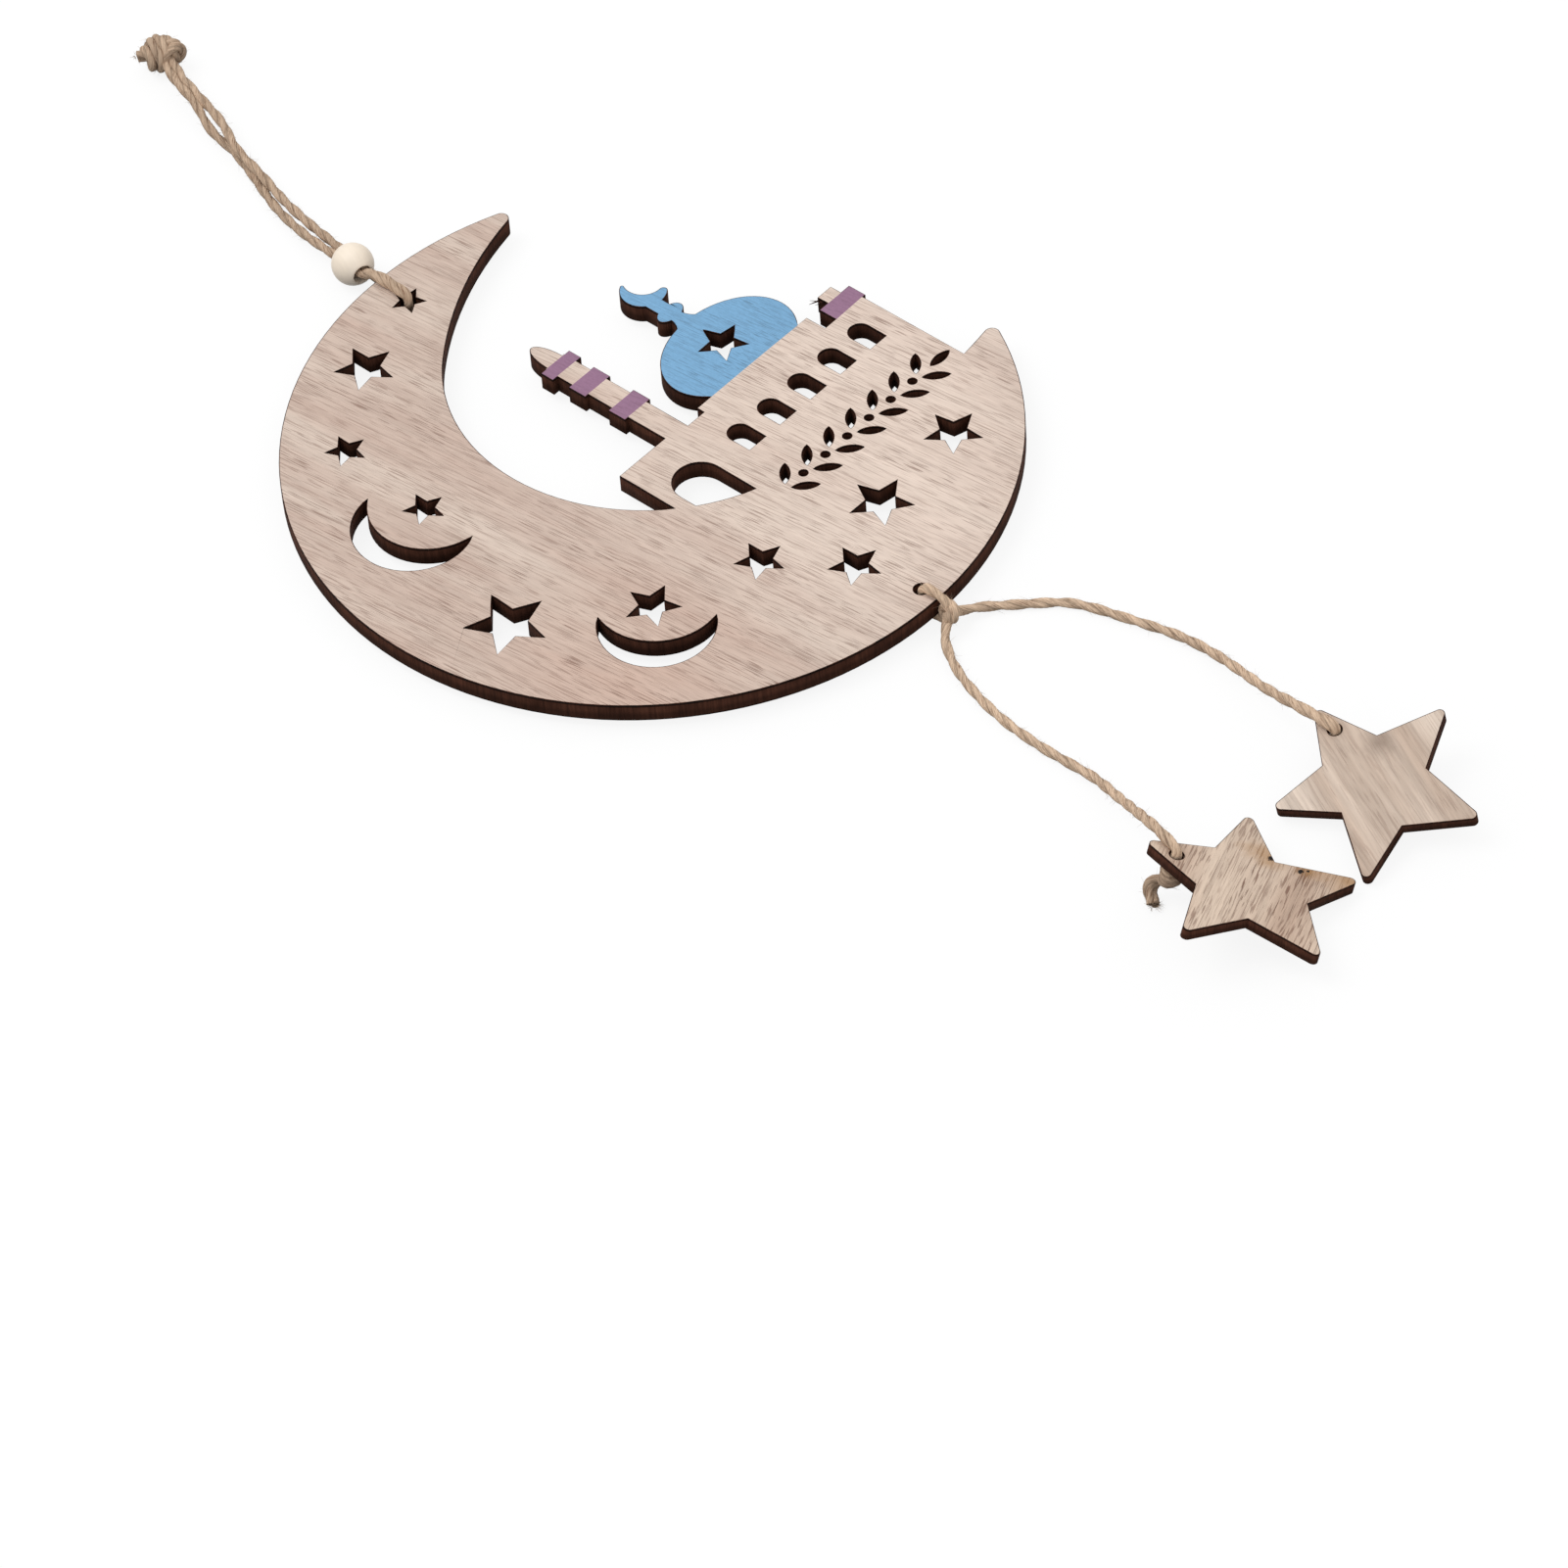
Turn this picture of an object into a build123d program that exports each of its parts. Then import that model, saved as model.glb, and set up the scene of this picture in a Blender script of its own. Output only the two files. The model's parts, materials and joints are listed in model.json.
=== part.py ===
from build123d import *

import os
from math import asin, cos, degrees, pi, radians, sin, tan

# Crescent-and-mosque hanging ornament, laid on a table as it is photographed.
# Millimetres. The drawing plane is the board: +X to the right, +Y towards the hanger, +Z out of
# its front face. The drawing's own centre is the centre of the crescent's outer circle, and the
# finished pieces are moved so that the origin is the middle of their footprint on the table.

# Stock and clearances
board_thickness = 5.0
star_thickness = 3.0
cord_diameter = 2.0
clearance = 0.3

# Crescent outline
outer_radius = 90.0
inner_radius = 52.35
inner_centre = (21.0, 17.0)
top_flare_angle = 128.0
low_flare_angle = 249.0
top_tip_angle = 62.9
low_tip_angle = -25.6
tip_radius = 2.0

# Mosque walls and roofs
hall_left = -15.0
hall_right = 68.0
hall_foot = -45.0
left_roof = -3.1
middle_roof = -4.5
cornice_left = 13.9
cornice_right = 54.0
cornice_top = -2.3
notch_floor = -8.3
tower_left = 58.0
tower_band_width = 11.0
tower_band_height = 5.3
tower_stub_width = 4.9
tower_stub_height = 3.3

# Minaret
minaret_axis = 4.65
shaft_width = 6.8
shaft_top = 36.0
cap_width = 5.6
cap_height = 7.8
gallery_width = 10.2
gallery_height = 3.9
gallery_foot = 31.9
ring_width = 9.1
ring_height = 5.4
ring_feet = (8.8, 21.8)

# Dome and its finial: heights and offsets are from the dome's centre
dome_axis = 34.9
dome_rise = 8.3
dome_half_width = 19.5
dome_half_height = 14.3
neck_foot_height = 13.3
neck_foot_width = 8.6
neck_width = 4.4
neck_sag = 1.1
bulb_height = 19.3
bulb_half_width = 4.05
bulb_half_height = 2.5
finial_neck_height = 26.0
finial_moon_offset = (1.9, 29.8)
finial_moon_radius = 6.0
finial_bite_offset = (4.6, 32.2)
finial_bite_radius = 5.2
finial_tip_radius = 0.5
finial_knob_radius = 1.1
dome_star_height = 2.2
dome_star_radius = 6.6
dome_star_turn = -3.5

# Door and windows
door_left = -11.2
door_width = 13.2
door_top = -12.9
window_count = 5
window_width = 5.95
window_top = -13.0
window_sill = -21.8
window_first = 13.9
window_pitch = 11.07

# Pierced stars: angle round the outer circle, inset of the centre from the rim, tip radius, and
# turn from upright
star_inner_ratio = 0.45
pierced_stars = {
    "horn": (109.68, 14.59, 7.75, -23.2),
    "shoulder": (131.87, 16.28, 5.3, -25.7),
    "upper_moon": (153.13, 31.59, 5.35, -24.7),
    "side": (192.76, 20.28, 10.4, -25.3),
    "lower_moon": (222.07, 32.68, 7.05, -1.0),
    "inner_foot": (252.31, 38.99, 6.4, -23.0),
    "outer_foot": (267.62, 22.49, 6.7, -22.2),
    "middle_foot": (286.37, 29.34, 8.2, -6.0),
    "right_foot": (309.08, 17.35, 7.45, -13.8),
}
# Pierced moons: angle, inset and radius, then the circle that bites into each, as an offset from the
# moon's centre and a radius
pierced_moons = {
    "upper": ((157.17, 26.85, 14.94), (8.30, 1.85, 15.44)),
    "lower": ((223.02, 26.68, 14.26), (7.60, 6.40, 15.88)),
}

# Leaf frieze under the windows
frieze_left = 7.5
frieze_axis = -37.2
frieze_pairs = 7
frieze_pitch = 8.0
leaf_length = 7.0
leaf_width = 2.4
leaf_angle = 42.0
leaf_offset = 1.0
berry_offset = 5.5
berry_radius = 1.1
end_leaf_offset = 4.2

# Holes for the cords
hanger_star_radius = 4.5
hanger_hole_side = -1.5
hanger_hole_inset = 11.0
rim_hole_side = 0.8
rim_hole_inset = 5.1
rim_hole_radius = 1.9

# Hanger bead and knot: places are from the hanger's hole
bead_diameter = 10.4
bead_bore_diameter = 4.7
bead_bore_edge = 0.3
bead_offset = (2.5, 21.4)
hanger_knot_offset = (28.2, 114.5)
strand_gap = 0.1
hanger_lead_out = 12.8
hanger_bore_lead = 5.6

# Knots are wraps of cord side by side round a core
hanger_wrap_diameter = 3.4
hanger_wrap_radius = 3.4
hanger_wraps = 3
hanger_knot_turn = 35.0
hanger_tail_length = 3.0
tie_wraps = 3
tie_wrap_radius = 1.85
stopper_wrap_radius = 2.3
left_stopper_wraps = 5
right_stopper_wraps = 3
stopper_tail_reach = 8.4
knot_taper = 0.75

# Pendant stars: one uneven outline, which the right star shows from its other side. Tips and inner
# corners are shares of the radius, with their angles from the hole's arm. Places are from the tie
star_radius = 26.7
star_tips = ((1.0, -1.8), (0.94, -71.4), (1.041, -144.6), (1.034, 145.6), (0.989, 71.1))
star_corners = ((0.502, -33.9), (0.404, -103.8), (0.517, -176.5), (0.461, 106.0), (0.491, 33.1))
star_tip_radius = 1.3
least_tip_share = 0.9
star_hole_offset = 18.0
star_hole_radius = 1.7
star_lift = 0.1
left_star_offset = (-28.0, -113.4)
left_star_arm = 110.0
left_star_uphill = 155.4
left_star_face = 1
left_tail_heading = 173.0
right_star_offset = (16.9, -114.9)
right_star_arm = 68.7
right_star_uphill = 4.4
right_star_face = -1
right_tail_heading = 251.0

# Pendant cords: free points along the table, from the tie, then a lead on to the star
cord_exit_height = 3.2
cord_exit_gap = 0.1
left_exit_angle = 207.0
right_exit_angle = -18.0
left_lead_turn = -32.0
right_lead_turn = 22.0
lead_length = 10.5
bend_share = 0.45
left_cord_points = (
    (-6.6, -4.4, 1.4),
    (-11.9, -13.5, 1.1),
    (-16.3, -28.5, 1.1),
    (-17.6, -42.3, 1.1),
    (-17.4, -54.0, 1.1),
    (-17.9, -60.3, 2.0),
    (-21.1, -68.3, 5.0),
    (-25.3, -77.0, 9.6),
)
right_cord_points = (
    (7.1, -2.4, 2.2),
    (11.4, -5.8, 1.3),
    (15.5, -9.9, 1.1),
    (21.6, -16.4, 1.1),
    (24.2, -21.6, 1.1),
    (27.3, -33.1, 1.1),
    (30.3, -45.6, 1.2),
    (30.1, -56.1, 2.2),
    (27.7, -67.0, 4.4),
    (24.6, -76.4, 7.4),
)

# Values that follow from the sizes above
cord_radius = cord_diameter / 2
board_lift = cord_diameter + clearance
board_top = board_lift + board_thickness
front_cord_height = board_top + clearance + cord_radius
back_cord_height = cord_radius
bead_height = bead_diameter / 2
tie_knot_radius = tie_wrap_radius + cord_radius
tie_knot_height = (board_top + board_lift) / 2
hanger_hole = (hanger_hole_side, outer_radius - hanger_hole_inset)
rim_hole = (rim_hole_side, rim_hole_inset - outer_radius)
tie_place = (rim_hole_side, -(outer_radius + clearance + tie_knot_radius))
dome_centre = (dome_axis, cornice_top + dome_rise)
edge_bend = cord_diameter
strand_spacing = cord_diameter + strand_gap


def block(left, right, low, high):
    """A rectangle between two X and two Y values."""
    return Pos((left + right) / 2, (low + high) / 2) * Rectangle(right - left, high - low)


def circle_at(centre_x, centre_y, radius):
    """A disc at a place in the board's plane."""
    return Pos(centre_x, centre_y) * Circle(radius)


def on_circle(centre, radius, angle):
    """A point at an angle on a circle."""
    return (centre[0] + radius * cos(radians(angle)), centre[1] + radius * sin(radians(angle)))


def inside_rim(angle, inset):
    """A point at an angle round the crescent's outer circle, set in from its rim."""
    return on_circle((0, 0), outer_radius - inset, angle)


def moved(point, offset):
    """A point in the board's plane, moved by an offset."""
    return (point[0] + offset[0], point[1] + offset[1])


def star_outline(radius, inner_ratio, first_angle):
    """A five-pointed star with its first tip at the given angle."""
    points = []
    for step in range(10):
        reach = radius if step % 2 == 0 else radius * inner_ratio
        angle = radians(first_angle + 36 * step)
        points.append((reach * cos(angle), reach * sin(angle)))
    return Polygon(*points, align=None)


def pendant_outline(arm, face):
    """The uneven outline of a pendant star, with its hole's arm at an angle, from either side."""
    points = []
    for tip, corner in zip(star_tips, star_corners):
        for share, angle in (tip, corner):
            points.append(on_circle((0, 0), star_radius * share, arm + face * angle))
    return Polygon(*points, align=None)


def pierced_star(centre_x, centre_y, radius, turn):
    """A star cut-out, turned from upright."""
    return Pos(centre_x, centre_y) * star_outline(radius, star_inner_ratio, 90 + turn)


def crescent_face():
    """Outer circle and an inner edge of three tangent arcs, with rounded horns."""
    top_tip = on_circle((0, 0), outer_radius, top_tip_angle)
    low_tip = on_circle((0, 0), outer_radius, low_tip_angle)
    top_flare = on_circle(inner_centre, inner_radius, top_flare_angle)
    low_flare = on_circle(inner_centre, inner_radius, low_flare_angle)
    top_heading = (sin(radians(top_flare_angle)), -cos(radians(top_flare_angle)))
    low_heading = (-sin(radians(low_flare_angle)), cos(radians(low_flare_angle)))
    outer_sweep = 360 + low_tip_angle - top_tip_angle
    edges = [
        CenterArc((0, 0), outer_radius, top_tip_angle, outer_sweep),
        CenterArc(inner_centre, inner_radius, top_flare_angle, low_flare_angle - top_flare_angle),
        TangentArc(top_flare, top_tip, tangent=top_heading),
        TangentArc(low_flare, low_tip, tangent=low_heading),
    ]
    face = make_face(edges)
    horns = face.vertices().sort_by(lambda v: Vector(v).length)[-2:]
    return fillet(horns, tip_radius)


def minaret_face():
    """Shaft, gallery, two rings and a bullet-shaped cap."""
    half_shaft = shaft_width / 2
    shape = block(minaret_axis - half_shaft, minaret_axis + half_shaft, hall_foot, shaft_top)
    bands = [(gallery_foot, gallery_height, gallery_width)]
    for foot in ring_feet:
        bands.append((foot, ring_height, ring_width))
    for foot, height, width in bands:
        shape += block(minaret_axis - width / 2, minaret_axis + width / 2, foot, foot + height)
    cap = Pos(minaret_axis, shaft_top) * Ellipse(cap_width / 2, cap_height)
    below_shaft_top = block(
        minaret_axis - cap_width, minaret_axis + cap_width, shaft_top - 2 * cap_height, shaft_top
    )
    return shape + (cap - below_shaft_top)


def dome_face():
    """Onion dome with a flared neck, a bulb and a small moon on top."""
    axis, middle = dome_centre
    neck_foot = middle + neck_foot_height
    bulb_centre = middle + bulb_height
    shape = Pos(*dome_centre) * Ellipse(dome_half_width, dome_half_height)
    foot = neck_foot_width / 2
    half_neck = neck_width / 2
    side_middle = (foot + half_neck) / 2 - neck_sag
    neck_middle = (neck_foot + bulb_centre) / 2
    neck = make_face([
        Line((axis - foot, neck_foot), (axis + foot, neck_foot)),
        ThreePointArc((axis + foot, neck_foot), (axis + side_middle, neck_middle),
                      (axis + half_neck, bulb_centre)),
        Line((axis + half_neck, bulb_centre), (axis - half_neck, bulb_centre)),
        ThreePointArc((axis - half_neck, bulb_centre), (axis - side_middle, neck_middle),
                      (axis - foot, neck_foot)),
    ])
    shape += neck
    shape += Pos(axis, bulb_centre) * Ellipse(bulb_half_width, bulb_half_height)
    shape += block(axis - half_neck, axis + half_neck, bulb_centre, middle + finial_neck_height)
    moon = circle_at(*moved(dome_centre, finial_moon_offset), finial_moon_radius)
    moon -= circle_at(*moved(dome_centre, finial_bite_offset), finial_bite_radius)
    moon = fillet(moon.vertices().sort_by(Axis.X)[0], finial_tip_radius)
    moon = fillet(moon.vertices().sort_by(Axis.X)[-1], finial_knob_radius)
    return shape + moon


def openings_in_walls():
    """The arched door and the row of arched windows."""
    def arch(left, width, low, high):
        radius = width / 2
        spring = high - radius
        return block(left, left + width, low, spring) + circle_at(left + radius, spring, radius)

    cuts = arch(door_left, door_width, hall_foot, door_top)
    for number in range(window_count):
        left = window_first - window_width / 2 + number * window_pitch
        cuts += arch(left, window_width, window_sill, window_top)
    return cuts


def mosque_face():
    """Walls and roof line, tower, minaret and dome, with the door and windows cut out."""
    tower_top = notch_floor + tower_band_height
    stub_middle = tower_left + tower_band_width / 2
    half_stub = tower_stub_width / 2
    shape = block(hall_left, minaret_axis, hall_foot, left_roof)
    shape += block(minaret_axis, cornice_left, hall_foot, middle_roof)
    shape += block(cornice_left, cornice_right, hall_foot, cornice_top)
    shape += block(cornice_right, hall_right, hall_foot, notch_floor)
    shape += block(tower_left, tower_left + tower_band_width, notch_floor, tower_top)
    shape += block(stub_middle - half_stub, stub_middle + half_stub, notch_floor,
                   tower_top + tower_stub_height)
    shape += minaret_face()
    shape += dome_face()
    return shape - openings_in_walls()


def leaf():
    """A pointed leaf along +X from the drawing's centre."""
    tip = (leaf_length, 0)
    upper = ThreePointArc((0, 0), (leaf_length / 2, leaf_width / 2), tip)
    lower = ThreePointArc(tip, (leaf_length / 2, -leaf_width / 2), (0, 0))
    return make_face([upper, lower])


def frieze_cuts():
    """Pairs of leaves with a berry between them, ending in one leaf."""
    cuts = []
    for number in range(frieze_pairs):
        base = frieze_left + number * frieze_pitch
        cuts.append(Pos(base, frieze_axis + leaf_offset) * Rot(0, 0, leaf_angle) * leaf())
        cuts.append(Pos(base, frieze_axis - leaf_offset) * Rot(0, 0, -leaf_angle) * leaf())
        if number < frieze_pairs - 1:
            cuts.append(circle_at(base + berry_offset, frieze_axis, berry_radius))
    cuts.append(Pos(base + end_leaf_offset, frieze_axis) * leaf())
    return cuts


def crescent_plate():
    """The board: crescent and mosque in one outline, pierced right through."""
    face = crescent_face() + mosque_face()
    cuts = frieze_cuts()
    for angle, inset, radius, turn in pierced_stars.values():
        cuts.append(pierced_star(*inside_rim(angle, inset), radius, turn))
    for (angle, inset, radius), (bite_x, bite_y, bite_radius) in pierced_moons.values():
        centre = inside_rim(angle, inset)
        cuts.append(circle_at(*centre, radius) - circle_at(*moved(centre, (bite_x, bite_y)), bite_radius))
    cuts.append(pierced_star(*moved(dome_centre, (0, dome_star_height)), dome_star_radius, dome_star_turn))
    cuts.append(pierced_star(*hanger_hole, hanger_star_radius, 0))
    cuts.append(circle_at(*rim_hole, rim_hole_radius))
    for cut in cuts:
        face -= cut
    return Pos(0, 0, board_lift) * extrude(face, board_thickness)


def corner_radii(points, tight):
    """The largest bend that each corner's runs allow, or the tight one given for that corner."""
    radii = []
    for index in range(1, len(points) - 1):
        arriving = points[index] - points[index - 1]
        leaving = points[index + 1] - points[index]
        half_turn = radians(arriving.get_angle(leaving)) / 2
        largest = bend_share * min(arriving.length, leaving.length) / tan(half_turn)
        radii.append(tight.get(index, largest))
    return radii


def cord_tube(name, points, tight):
    """A round cord along straight runs joined by tangent arcs."""
    points = [Vector(*point) for point in points]
    radii = corner_radii(points, tight)
    path = FilletPolyline(*points, radius=radii)
    section = Plane(origin=path @ 0, z_dir=path % 0) * Circle(cord_radius)
    tube = sweep(section, path=path)
    expected = pi * cord_radius**2 * path.length
    print(name, "length", round(path.length, 1), "volume share", round(tube.volume / expected, 4),
          "radii", [round(radius, 1) for radius in radii])
    return tube


def straight_cord(start, end):
    """A straight run of cord between two places."""
    start = Vector(*start)
    heading = Vector(*end) - start
    return extrude(Plane(origin=start, z_dir=heading) * Circle(cord_radius), heading.length)


def wrapped_knot(wraps, wrap_diameter, wrap_radius):
    """Wraps of cord side by side along +Z from the drawing's plane, round a flat-ended core."""
    length = wraps * wrap_diameter
    profile = Pos(wrap_radius / 2, length / 2) * Rectangle(wrap_radius, length)
    for number in range(wraps):
        is_end = number in (0, wraps - 1)
        reach = wrap_radius * knot_taper if is_end else wrap_radius
        profile += circle_at(reach, (number + 0.5) * wrap_diameter, wrap_diameter / 2)
    profile &= block(0, 2 * (wrap_radius + wrap_diameter), 0, length)
    return revolve(Plane.XZ * profile, Axis.Z)


def hanger_pieces():
    """The loop of cord through the star hole, its bead and the knot that ties its ends."""
    bead_middle = Vector(*moved(hanger_hole, bead_offset), bead_height)
    knot_middle = Vector(*moved(hanger_hole, hanger_knot_offset), bead_height)
    pull = (knot_middle - bead_middle).normalized()
    side = Vector(pull.Y, -pull.X, 0) * (strand_spacing / 2)
    bore_mouth = bead_middle - pull * hanger_bore_lead
    hole = Vector(*hanger_hole, 0)
    lead_out = (Vector(bore_mouth.X, bore_mouth.Y, 0) - hole).normalized() * hanger_lead_out
    front = Vector(0, 0, front_cord_height)
    back = Vector(0, 0, back_cord_height)
    eye_points = [
        bead_middle + side,
        bore_mouth + side,
        hole + lead_out + side / 2 + front,
        hole + front,
        hole + back,
        hole + lead_out - side / 2 + back,
        bore_mouth - side,
        bead_middle - side,
    ]
    pieces = {"hanger_eye": cord_tube("hanger_eye", eye_points, {3: edge_bend, 4: edge_bend})}

    bead_plane = Plane(origin=bead_middle, z_dir=pull)
    bead = Sphere(bead_diameter / 2) - Cylinder(bead_bore_diameter / 2, 2 * bead_diameter)
    bead = fillet(bead.edges().filter_by(GeomType.CIRCLE), bead_bore_edge)
    pieces["hanger_bead"] = bead_plane * bead

    knot_length = hanger_wraps * hanger_wrap_diameter
    knot = wrapped_knot(hanger_wraps, hanger_wrap_diameter, hanger_wrap_radius)
    knot_axis = pull.rotate(Axis.Z, hanger_knot_turn)
    knot = Plane(origin=knot_middle - knot_axis * (knot_length / 2), z_dir=knot_axis) * knot
    tail_start = knot_middle + knot_axis * (knot_length / 2 - cord_radius)
    for shift in (side, side * -1):
        knot += straight_cord(tail_start + shift, tail_start + shift + knot_axis * hanger_tail_length)
    pieces["hanger_knot"] = knot
    pieces["hanger_right_strand"] = straight_cord(bead_middle + side, knot_middle + side) - knot
    pieces["hanger_left_strand"] = straight_cord(bead_middle - side, knot_middle - side) - knot
    return pieces


def tie_pieces():
    """The loop through the rim hole and the knot below the rim that the pendants hang from."""
    tie_x, tie_y = tie_place
    hole_y = rim_hole[1]
    over_rim = -(outer_radius + clearance + cord_radius / 2)
    knot_length = tie_wraps * cord_diameter
    rise = knot_length / 2 - cord_radius
    loop_points = [
        (tie_x, tie_y, tie_knot_height + rise),
        (tie_x, over_rim, front_cord_height),
        (tie_x, hole_y, front_cord_height),
        (tie_x, hole_y, back_cord_height),
        (tie_x, over_rim, back_cord_height),
        (tie_x, tie_y, tie_knot_height - rise),
    ]
    loop = cord_tube("pendant_tie_loop", loop_points, {2: edge_bend, 3: edge_bend})
    knot = wrapped_knot(tie_wraps, cord_diameter, tie_wrap_radius)
    knot = Pos(tie_x, tie_y, tie_knot_height - knot_length / 2) * knot
    return {"pendant_tie_loop": loop - knot, "pendant_tie_knot": knot}


def star_plane(place, arm, uphill_angle, face, knot_length):
    """The plane of a star's back face: it leans on its stopper knot and its lowest tip."""
    tips = [star_radius * share * cos(radians(arm + face * angle)) for share, angle in star_tips]
    lever = star_hole_offset * cos(radians(arm)) - min(tips)
    lean = asin((knot_length + 2 * clearance) / lever)
    uphill = radians(uphill_angle)
    along = (cos(lean) * cos(uphill), cos(lean) * sin(uphill), sin(lean))
    normal = (-sin(lean) * cos(uphill), -sin(lean) * sin(uphill), cos(lean))
    return Plane(origin=(*place, star_lift - min(tips) * sin(lean)), x_dir=along, z_dir=normal)


def pendant_pieces(side, offset, arm_angle, uphill_angle, face, wraps, tail_heading, exit_angle, points,
                   lead_turn):
    """One pendant: its star, the cord from the tie to the star's hole, and the knot under it."""
    knot_length = wraps * cord_diameter
    arm = arm_angle - uphill_angle
    plane = star_plane(moved(tie_place, offset), arm, uphill_angle, face, knot_length)
    outline = pendant_outline(arm, face)
    tips = outline.vertices().filter_by(lambda v: Vector(v).length > star_radius * least_tip_share)
    outline = fillet(tips, star_tip_radius)
    hole = Vector(star_hole_offset, 0, 0).rotate(Axis.Z, arm)
    outline -= circle_at(hole.X, hole.Y, star_hole_radius)
    star = plane * extrude(outline, star_thickness, dir=(0, 0, 1))

    knot_foot = hole - Vector(0, 0, clearance + knot_length)
    knot = plane * (Pos(*knot_foot) * wrapped_knot(wraps, cord_diameter, stopper_wrap_radius))
    tail_start = plane.from_local_coords(knot_foot + Vector(0, 0, wraps // 2 * cord_diameter))
    tail_end = tail_start + Vector(stopper_tail_reach, 0, 0).rotate(Axis.Z, tail_heading)
    knot += straight_cord(tail_start, (tail_end.X, tail_end.Y, cord_radius + clearance / 2))

    lead_heading = Vector(1, 0, 0).rotate(Axis.Z, arm + lead_turn)
    over_star = Vector(0, 0, star_thickness + clearance + cord_radius)
    lead = [
        plane.from_local_coords(hole + lead_heading * lead_length + over_star),
        plane.from_local_coords(hole + over_star),
        plane.from_local_coords(hole - Vector(0, 0, clearance)),
    ]
    leave = tie_knot_radius + cord_exit_gap
    route = [(*on_circle(tie_place, leave, exit_angle), cord_exit_height)]
    route += [(*moved(tie_place, point), point[2]) for point in points]
    route += lead
    cord = cord_tube(side + "_pendant_cord", route, {len(route) - 2: edge_bend})
    return {side + "_star": star, side + "_stopper_knot": knot, side + "_pendant_cord": cord}


pieces = {"crescent_plate": crescent_plate()}
pieces.update(hanger_pieces())
pieces.update(tie_pieces())
pieces.update(pendant_pieces("left", left_star_offset, left_star_arm, left_star_uphill, left_star_face,
                             left_stopper_wraps, left_tail_heading, left_exit_angle, left_cord_points,
                             left_lead_turn))
pieces.update(pendant_pieces("right", right_star_offset, right_star_arm, right_star_uphill, right_star_face,
                             right_stopper_wraps, right_tail_heading, right_exit_angle,
                             right_cord_points, right_lead_turn))

# The origin is the middle of the footprint of the board, the bead and the two stars
rigid = Compound([pieces[name] for name in ("crescent_plate", "hanger_bead", "left_star", "right_star")])
box = rigid.bounding_box()
to_origin = Pos(-box.center().X, -box.center().Y, 0)
print("drawing centre at", round(-box.center().X, 3), round(-box.center().Y, 3))

os.makedirs("parts", exist_ok=True)
for name, piece in pieces.items():
    export_step(to_origin * piece, f"parts/{name}.step")
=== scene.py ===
import json
import random
from math import cos, pi, radians, sin
from typing import NamedTuple

import bmesh
import bpy
from bpy.props import FloatProperty, FloatVectorProperty, IntProperty, PointerProperty
from bpy.types import Operator, Panel, PropertyGroup
from mathutils import Matrix, Vector, noise


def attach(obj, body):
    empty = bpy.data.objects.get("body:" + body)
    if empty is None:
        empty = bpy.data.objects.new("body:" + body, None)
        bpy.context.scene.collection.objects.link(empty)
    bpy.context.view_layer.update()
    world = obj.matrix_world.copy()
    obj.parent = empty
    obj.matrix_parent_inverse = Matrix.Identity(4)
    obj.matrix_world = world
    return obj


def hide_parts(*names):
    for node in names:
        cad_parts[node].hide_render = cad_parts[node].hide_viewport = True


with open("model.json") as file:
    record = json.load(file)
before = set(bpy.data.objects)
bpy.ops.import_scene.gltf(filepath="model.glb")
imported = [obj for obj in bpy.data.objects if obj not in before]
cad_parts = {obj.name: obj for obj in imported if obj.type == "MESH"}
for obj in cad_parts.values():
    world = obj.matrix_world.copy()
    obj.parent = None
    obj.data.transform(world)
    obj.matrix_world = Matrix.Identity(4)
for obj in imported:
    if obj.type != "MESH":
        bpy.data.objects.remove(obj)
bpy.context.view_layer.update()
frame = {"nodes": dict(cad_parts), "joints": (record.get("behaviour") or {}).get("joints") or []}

bl_info = {
    "name": "Hanging Crescent Ornament",
    "version": (1, 0, 0),
    "blender": (4, 5, 0),
    "location": "View3D > Sidebar > Ornament",
    "description": "Dresses the crescent ornament in veneer, paint and jute twine",
    "category": "Object",
}

mm = 0.001
white = (1.0, 1.0, 1.0)
joints = {joint["name"]: joint for joint in frame["joints"]}


class Wood(NamedTuple):
    """How one sheet's grain looks."""

    pale: tuple
    streak: tuple
    pore: tuple
    pore_share: float
    pore_scale: float
    pore_stretch: float
    band_scale: float
    band_share: float


class Marks(NamedTuple):
    """Places of one colour on a sheet, how strong it is and how uneven their rims are."""

    places: tuple
    colour: tuple
    share: float
    rough: float


class Coil(NamedTuple):
    """Twine wound round an axis, from its low to its high end."""

    middle: Vector
    axis: Vector
    radius: float
    start: float
    turns: float
    low: float
    high: float
    bulge: float = 0.0


class Pendant(NamedTuple):
    """One pendant's cord from the tie to its star, and the knot below the star."""

    side: str
    heading: float
    loose: float
    turns: float
    depth: float
    route: tuple
    tails: tuple


# Stage
floor_reach = 3.0
floor_drop = 0.05 * mm
floor_glow = 0.87
sky_strength = 0.78
softbox_place = (-0.55, 0.75, 1.55)
softbox_size = 1.2
softbox_energy = 10.0

# Camera, fitted to the crescent's outer circle
camera_place = Vector((-0.9998, -0.967215, 1.4017))
camera_right = Vector((0.658980, -0.750007, -0.056864))
camera_up = Vector((0.571982, 0.450594, 0.685420))
camera_lens = 191.1
camera_sensor = 36.0

# Cut sheets: limits of their faces, and the places of their finishes
facing = 0.999
wall_slope = 0.5
snap = 0.02 * mm
merge_reach = 0.001 * mm
sharp_angle = radians(28)
wall_index = 1
scorch_index = 2
dome_index = 3
band_index = 4

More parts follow.
